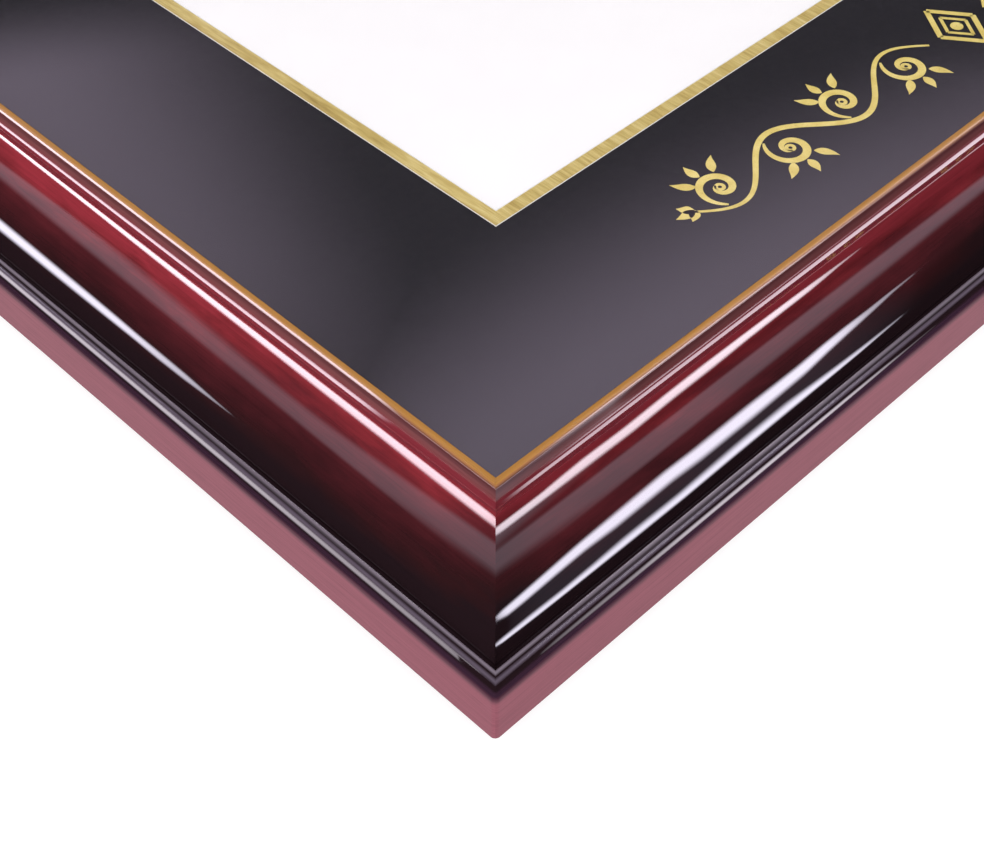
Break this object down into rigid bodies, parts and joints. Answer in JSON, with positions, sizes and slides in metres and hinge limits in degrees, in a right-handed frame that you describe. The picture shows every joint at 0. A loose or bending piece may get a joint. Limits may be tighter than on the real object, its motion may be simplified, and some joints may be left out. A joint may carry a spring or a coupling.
{
  "type": "certificate frame",
  "caption": "Landscape certificate frame: mitred gloss moulding with a gilt lip, glass over a double mat and sheet, backing held by turn buttons, and D-ring hangers behind.",
  "frame": {"origin": "middle of the plane that the wall bumpers' feet stand on, behind the middle of the frame", "axes": "+X along the bottom rail to the right as seen from the front, +Y towards the top of the hung frame, +Z out of the face; the frame lies on its back, face up"},
  "size_m": [0.463, 0.3994, 0.0236],
  "materials": {
    "lacquered_wood": "high-gloss red-brown lacquer, burnished near black on the outer half",
    "gilt": "satin gilt over wood",
    "glass": "clear float glass",
    "black_mat": "black paper-faced mat board with a white bevelled core",
    "gold_mat": "gold foil-faced mat board with a white bevelled core",
    "sheet": "smooth heavy paper",
    "foam_board": "white paper-faced board",
    "hardboard": "brown pressed hardboard",
    "plated_steel": "zinc-plated stamped steel",
    "screw_steel": "zinc-plated screws",
    "bumper_rubber": "soft dark rubber"
  },
  "bodies": {
    "frame": {"back_panel": "hardboard", "certificate": "sheet", "corner_v_nails": "plated_steel", "filler_board": "foam_board", "gilt_lip_bottom": "gilt", "gilt_lip_left": "gilt", "gilt_lip_right": "gilt", "gilt_lip_top": "gilt", "glazing": "glass", "hanger_screws": "screw_steel", "hanger_strap_left": "plated_steel", "hanger_strap_right": "plated_steel", "inner_mat": "gold_mat", "rail_bottom": "lacquered_wood", "rail_left": "lacquered_wood", "rail_right": "lacquered_wood", "rail_top": "lacquered_wood", "top_mat": "black_mat", "turn_button_screws": "screw_steel", "wall_bumpers": "bumper_rubber"},
    "button_1": {"turn_button_1": "plated_steel"},
    "button_2": {"turn_button_2": "plated_steel"},
    "button_3": {"turn_button_3": "plated_steel"},
    "button_4": {"turn_button_4": "plated_steel"},
    "button_5": {"turn_button_5": "plated_steel"},
    "button_6": {"turn_button_6": "plated_steel"},
    "button_7": {"turn_button_7": "plated_steel"},
    "button_8": {"turn_button_8": "plated_steel"},
    "ring_left": {"d_ring_left": "plated_steel"},
    "ring_right": {"d_ring_right": "plated_steel"}
  },
  "joints": [
    {"name": "button_1_turn", "type": "hinge", "parent": "frame", "child": "button_1", "pos_m": [-0.115, -0.18125, 0.0033], "axis": [0, 0, 1], "continuous": true},
    {"name": "button_2_turn", "type": "hinge", "parent": "frame", "child": "button_2", "pos_m": [0.115, -0.18125, 0.0033], "axis": [0, 0, 1], "continuous": true},
    {"name": "button_3_turn", "type": "hinge", "parent": "frame", "child": "button_3", "pos_m": [0.213, -0.11, 0.0033], "axis": [0, 0, 1], "continuous": true},
    {"name": "button_4_turn", "type": "hinge", "parent": "frame", "child": "button_4", "pos_m": [0.213, 0.11, 0.0033], "axis": [0, 0, 1], "continuous": true},
    {"name": "button_5_turn", "type": "hinge", "parent": "frame", "child": "button_5", "pos_m": [0.115, 0.18125, 0.0033], "axis": [0, 0, 1], "continuous": true},
    {"name": "button_6_turn", "type": "hinge", "parent": "frame", "child": "button_6", "pos_m": [-0.115, 0.18125, 0.0033], "axis": [0, 0, 1], "continuous": true},
    {"name": "button_7_turn", "type": "hinge", "parent": "frame", "child": "button_7", "pos_m": [-0.213, 0.11, 0.0033], "axis": [0, 0, 1], "continuous": true},
    {"name": "button_8_turn", "type": "hinge", "parent": "frame", "child": "button_8", "pos_m": [-0.213, -0.11, 0.0033], "axis": [0, 0, 1], "continuous": true},
    {"name": "ring_left_swing", "type": "hinge", "parent": "frame", "child": "ring_left", "pos_m": [-0.21775, 0.062, 0.0022], "axis": [-1, 0, 0], "range_deg": [0, 160]},
    {"name": "ring_right_swing", "type": "hinge", "parent": "frame", "child": "ring_right", "pos_m": [0.21775, 0.062, 0.0022], "axis": [-1, 0, 0], "range_deg": [0, 160]}
  ]
}
